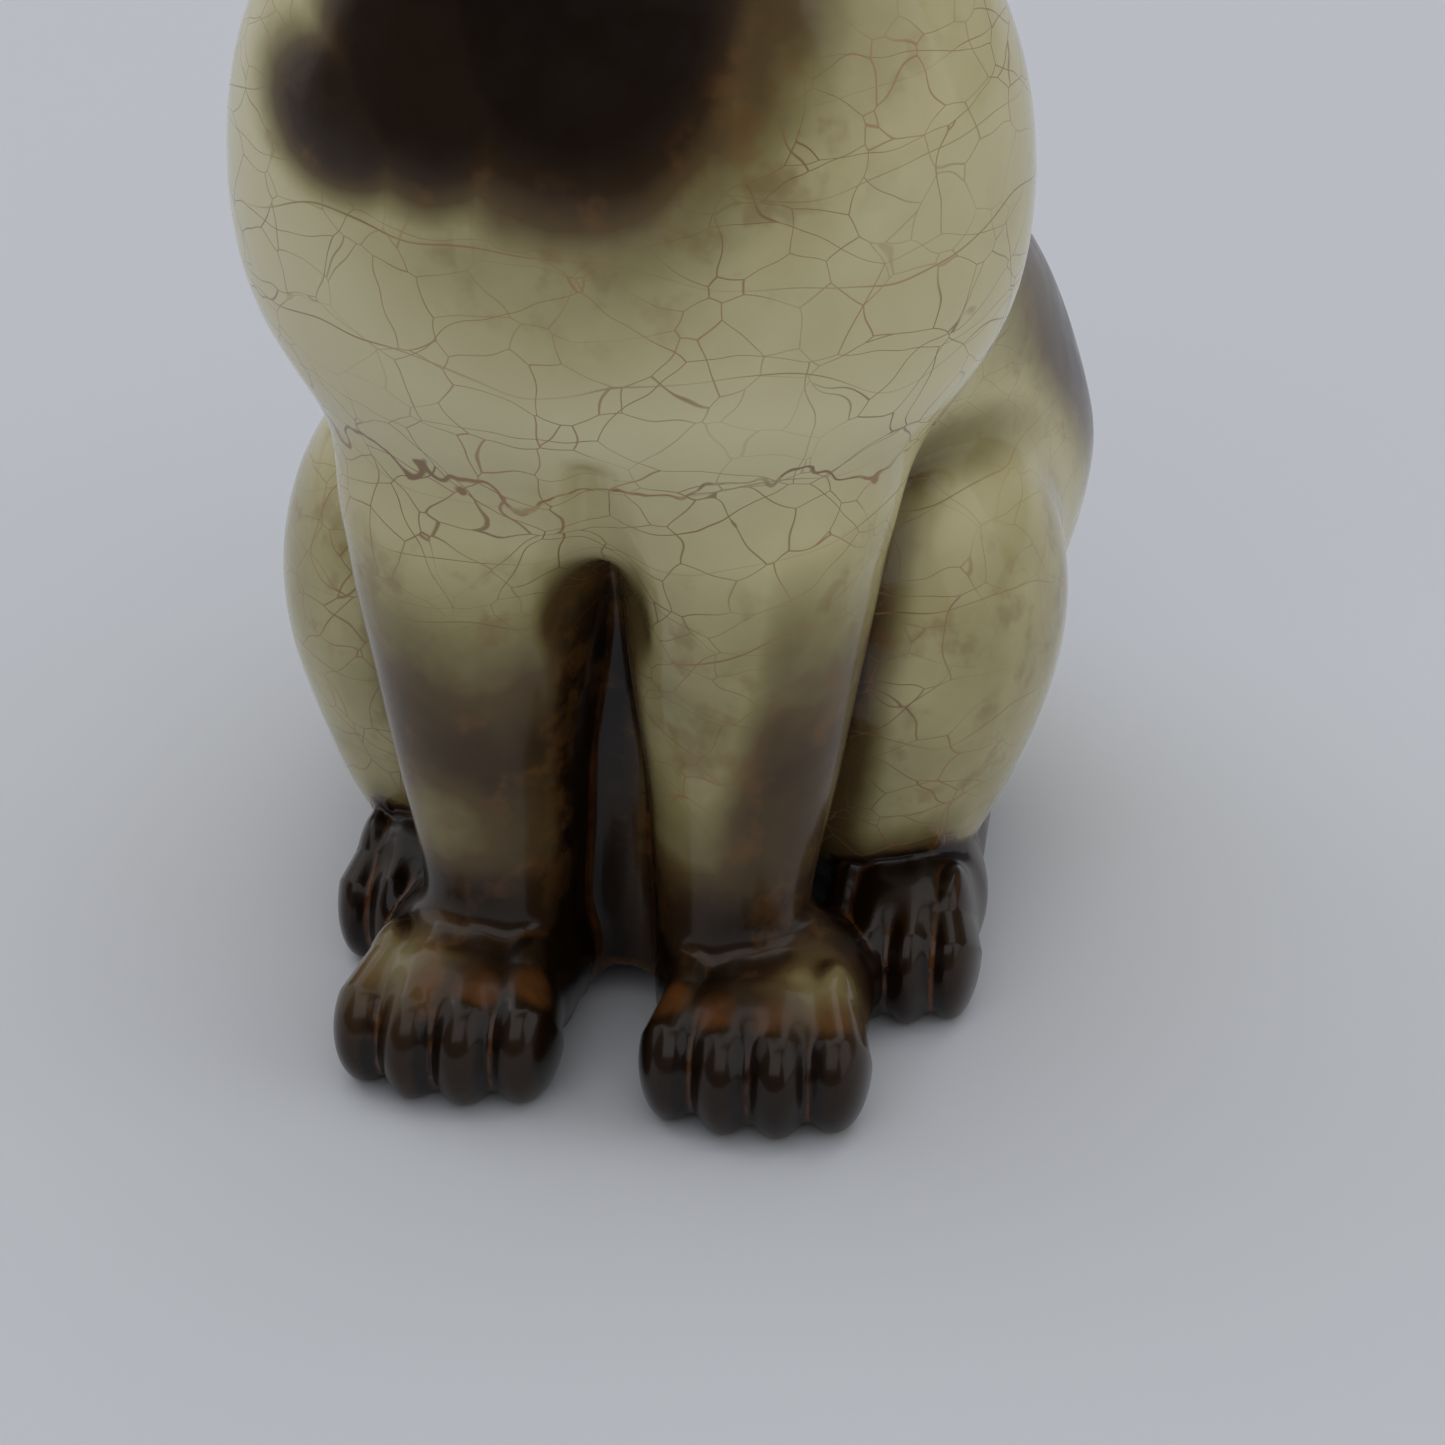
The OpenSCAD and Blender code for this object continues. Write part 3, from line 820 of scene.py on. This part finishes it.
def glaze():
    """Crackle glaze over airbrushed colour, led by the marks that paint() leaves on the meshes."""
    g = Graph("crackle_glaze")
    where = g.add("ShaderNodeTexCoord").outputs["Object"]
    broad = g.noise(where, 55.0, 2.0)
    fine = g.noise(where, 210.0, 3.0, 0.6)
    blur = g.math("SUBTRACT", g.noise(where, 120.0, 3.0, 0.55).outputs[0], 0.5)

    # airbrushed brown, its edge broken up a little by noise
    brown = g.mark("brown")
    edge = g.math("MULTIPLY", brown, g.math("SUBTRACT", 1.0, brown))
    brown = g.math("MULTIPLY_ADD", g.math("MULTIPLY", edge, 1.3), blur, brown, clamp=True)
    brown = g.math("MULTIPLY_ADD", g.math("SUBTRACT", broad.outputs[0], 0.5), 0.12, brown, clamp=True)
    # glaze pooled in hollows, and painted shade in hollows and creases, darken the colour towards brown
    hollow = g.mark("hollow")
    pooled_and_shaded = g.math("MULTIPLY_ADD", g.ramp(hollow, 0.12, 0.75), 0.34, brown, clamp=True)
    colour = g.colours(pooled_and_shaded, CREAM_TO_BROWN)
    # thin glaze over knuckles and edges breaks to orange brown
    thin = g.math("MULTIPLY", g.ramp(g.mark("sharp"), 0.2, 0.62), g.ramp(brown, 0.4, 0.75))
    thin = g.math("MULTIPLY", thin, g.ramp(fine.outputs[0], 0.3, 0.65, 0.35, 1.0))
    colour = g.mix(g.math("MULTIPLY", thin, 0.75), colour, THIN_GLAZE)
    # warm flecks where the brown feathers out
    fleck = g.math("MULTIPLY", g.ramp(edge, 0.06, 0.22), g.ramp(fine.outputs[0], 0.52, 0.68))
    colour = g.mix(g.math("MULTIPLY", fleck, 0.35), colour, FLECK)

    # crazing: cells of two sizes, and long level cracks
    clear = g.ramp(brown, 0.55, 0.2)
    bend = g.noise(where, 80.0, 2.0).outputs["Color"]
    small = g.cells(vector(g, where, (165.0, 165.0, 225.0), bend, 1.3))
    large = g.cells(vector(g, where, (62.0, 62.0, 110.0), bend, 0.5))
    patchy = g.noise(where, 70.0, 1.0).outputs[0]
    hair = g.math("MULTIPLY", g.ramp(small, 0.015, 0.004), g.ramp(patchy, 0.36, 0.6, 0.2, 0.85))
    crack = g.math("MULTIPLY", g.ramp(large, 0.005, 0.0012), g.ramp(patchy, 0.3, 0.6, 0.5, 1.0))
    place = g.add("ShaderNodeSeparateXYZ", {0: where})
    height = place.outputs[2]
    wave = g.noise(where, 34.0, 1.5).outputs[0]
    wave = g.math("MULTIPLY_ADD", wave, 2.6, g.math("MULTIPLY", height, 118.0))
    level = g.math("ABSOLUTE", g.math("SUBTRACT", g.math("FRACT", wave), 0.5))
    level = g.math("MULTIPLY", g.ramp(level, 0.011, 0.003), g.ramp(patchy, 0.62, 0.4, 0.25, 0.95))
    lines = g.math("MAXIMUM", g.math("MAXIMUM", hair, crack), level)
    # one heavier crack runs round the bottom of the chest
    drop = g.math("MULTIPLY_ADD", g.noise(where, 75.0, 3.0, 0.6).outputs[0], 0.016, height)
    split = g.ramp(g.math("ABSOLUTE", g.math("SUBTRACT", drop, SPLIT_HEIGHT)), 0.00026, 0.0001)
    split = g.math("MULTIPLY", split, g.ramp(fine.outputs[0], 0.35, 0.5, 0.4, 1.0))
    lines = g.math("MAXIMUM", lines, split)
    # crazing doesn't show through brown, and it is fainter behind the chest
    fades = g.math("MULTIPLY", clear, g.ramp(place.outputs[1], -0.022, 0.0, 1.0, 0.35))
    lines = g.math("MULTIPLY", lines, fades)
    stain = g.mix(g.ramp(broad.outputs[0], 0.4, 0.62), *STAINS)
    colour = g.mix(g.math("MULTIPLY", lines, 0.85), colour, stain)
    # pinholes
    holes = g.add("ShaderNodeTexVoronoi", {"Vector": where, "Scale": 95.0})
    rare = g.ramp(g.add("ShaderNodeSeparateColor", {0: holes.outputs["Color"]}).outputs[0], 0.93, 0.95)
    pin = g.math("MULTIPLY", g.math("MULTIPLY", g.ramp(holes.outputs["Distance"], 0.035, 0.02), rare), clear)
    colour = g.mix(pin, colour, PINHOLE)

    # painted eyes, and bare clay underneath
    colour = g.mix(g.mark("eye"), colour, EYE_BLUE)
    colour = g.mix(g.mark("pupil"), colour, PUPIL_BLACK)
    bare = g.mark("bare")
    buff = g.mix(fine.outputs[0], *CLAYS)
    colour = g.mix(bare, colour, buff)
    g.feed(g.shader.inputs["Base Color"], colour)

    # gloss: a little duller in the brown, matt on bare clay; the surface swells gently and the lines sink
    rough = g.ramp(g.noise(where, 300.0, 2.0).outputs[0], 0.3, 0.7, 0.09, 0.17)
    rough = g.math("MULTIPLY_ADD", g.ramp(brown, 0.3, 0.9), 0.1, g.math("MULTIPLY_ADD", bare, 0.6, rough))
    g.feed(g.shader.inputs["Roughness"], rough)
    g.feed(g.shader.inputs["IOR"], 1.5)
    g.feed(g.shader.inputs["Specular IOR Level"], 0.28)
    g.feed(g.shader.inputs["Coat Weight"], 0.1)
    g.feed(g.shader.inputs["Coat Roughness"], 0.03)
    swell = g.math("MULTIPLY", g.noise(where, 150.0, 2.0).outputs[0], 0.5)
    swell = g.math("MULTIPLY_ADD", lines, -0.12, swell)
    bump = g.add("ShaderNodeBump", {"Height": swell, "Strength": 0.25, "Distance": 0.0004})
    g.feed(g.shader.inputs["Normal"], bump.outputs[0])
    return g.material


GLAZE = glaze()
THIN_WALL = 1.2
WALL = {
    "torso": 3.0,
    "head": 2.0,
    "haunch_left": 2.5,
    "haunch_right": 2.5,
    "ear_left": 0.5,
    "ear_right": 0.5,
}
COARSE = ("torso", "haunch_left", "haunch_right", "tail")  # smooth sections that need no finer mesh
GRID_LO, GRID_HI = (-42, -44, -3), (42, 66, 186)  # a box round the whole cat

grid_p, grid_q = surface(cat, GRID_LO, GRID_HI, VOXEL)
skin_p, skin_n = settle(grid_p, cat, VOXEL)
section = tidy_labels(grid_q, cat(skin_p, True)[1], len(skin_p))
for number, name in enumerate(NAMES):
    mine = grid_q[section == number]
    if name in COARSE:
        fine_patch = (skin_p, skin_n, mine, {})
    else:
        fine_patch = finer(skin_p, skin_n, mine, len(skin_p))
    piece = build(name, (skin_p, skin_n, mine), fine_patch, WALL.get(name, THIN_WALL))
    print(name, len(piece.data.polygons), "faces")


# ---------------------------------------------------------------- floor, lights and camera
FLOOR_HALF = 2.5
FLOOR_Z = -0.0001  # just under the soles, so that the two don't flicker
sheet = bpy.data.meshes.new("floor")
around = ((-1, -1), (1, -1), (1, 1), (-1, 1))
sheet.from_pydata([(u * FLOOR_HALF, v * FLOOR_HALF, FLOOR_Z) for u, v in around], [], [(0, 1, 2, 3)])
floor = bpy.data.objects.new("floor", sheet)
bpy.context.scene.collection.objects.link(floor)
f = Graph("floor_paper")
spot_on = f.add("ShaderNodeTexCoord").outputs["Object"]
tone = f.mix(f.noise(spot_on, 3.0, 3.0).outputs[0], (0.76, 0.78, 0.82), (0.80, 0.82, 0.86))
f.feed(f.shader.inputs["Base Color"], tone)
f.feed(f.shader.inputs["Roughness"], 0.75)
f.feed(f.shader.inputs["Specular IOR Level"], 0.2)
floor.data.materials.append(f.material)


def light(name, at, towards, size, watts, tint):
    """A rectangular soft box."""
    data = bpy.data.lights.new(name, "AREA")
    data.shape = "RECTANGLE"
    data.size, data.size_y = size
    data.energy = watts
    data.color = tint
    ob = bpy.data.objects.new(name, data)
    ob.location = at
    ob.rotation_mode = "QUATERNION"
    ob.rotation_quaternion = (Vector(towards) - Vector(at)).to_track_quat("-Z", "Y")
    bpy.context.scene.collection.objects.link(ob)


MIDDLE = (0.0, 0.0, 0.06)
DAYLIGHT = (0.97, 0.98, 1.0)
light("overhead", (-0.1, 0.32, 1.2), MIDDLE, (2.2, 1.6), 10.0, DAYLIGHT)
light("left_side", (-1.1, 0.3, 0.5), MIDDLE, (1.0, 1.0), 1.6, DAYLIGHT)
light("right_side", (1.1, -0.15, 0.55), MIDDLE, (1.0, 1.0), 2.4, DAYLIGHT)
light("front_fill", (0.1, -1.3, 1.5), MIDDLE, (2.4, 1.4), 9.0, (0.98, 0.98, 1.0))
world = bpy.data.worlds.new("studio")
world.use_nodes = True
sky = world.node_tree.nodes["Background"].inputs
sky["Color"].default_value = (0.68, 0.71, 0.80, 1.0)
sky["Strength"].default_value = 0.10
bpy.context.scene.world = world
bpy.context.scene.view_settings.view_transform = "Standard"

# The camera looks down on the cat a little from its own left, and the picture cuts its head off.
TURN, TILT, REACH = math.radians(11), math.radians(30), 0.4
AIM = Vector((0.0063, -0.0113, 0.022))
PICTURE_WIDTH = 0.1273  # what the picture takes in at the aim, in metres
ahead = Vector((-math.sin(TURN) * math.cos(TILT), math.cos(TURN) * math.cos(TILT), -math.sin(TILT)))
lens = bpy.data.cameras.new("camera")
lens.sensor_width = 36.0
lens.lens = lens.sensor_width * REACH / PICTURE_WIDTH
lens.clip_start, lens.clip_end = 0.01, 20.0
camera = bpy.data.objects.new("camera", lens)
camera.location = AIM - ahead * REACH
camera.rotation_mode = "QUATERNION"
camera.rotation_quaternion = ahead.to_track_quat("-Z", "Y")
bpy.context.scene.collection.objects.link(camera)
bpy.context.scene.camera = camera
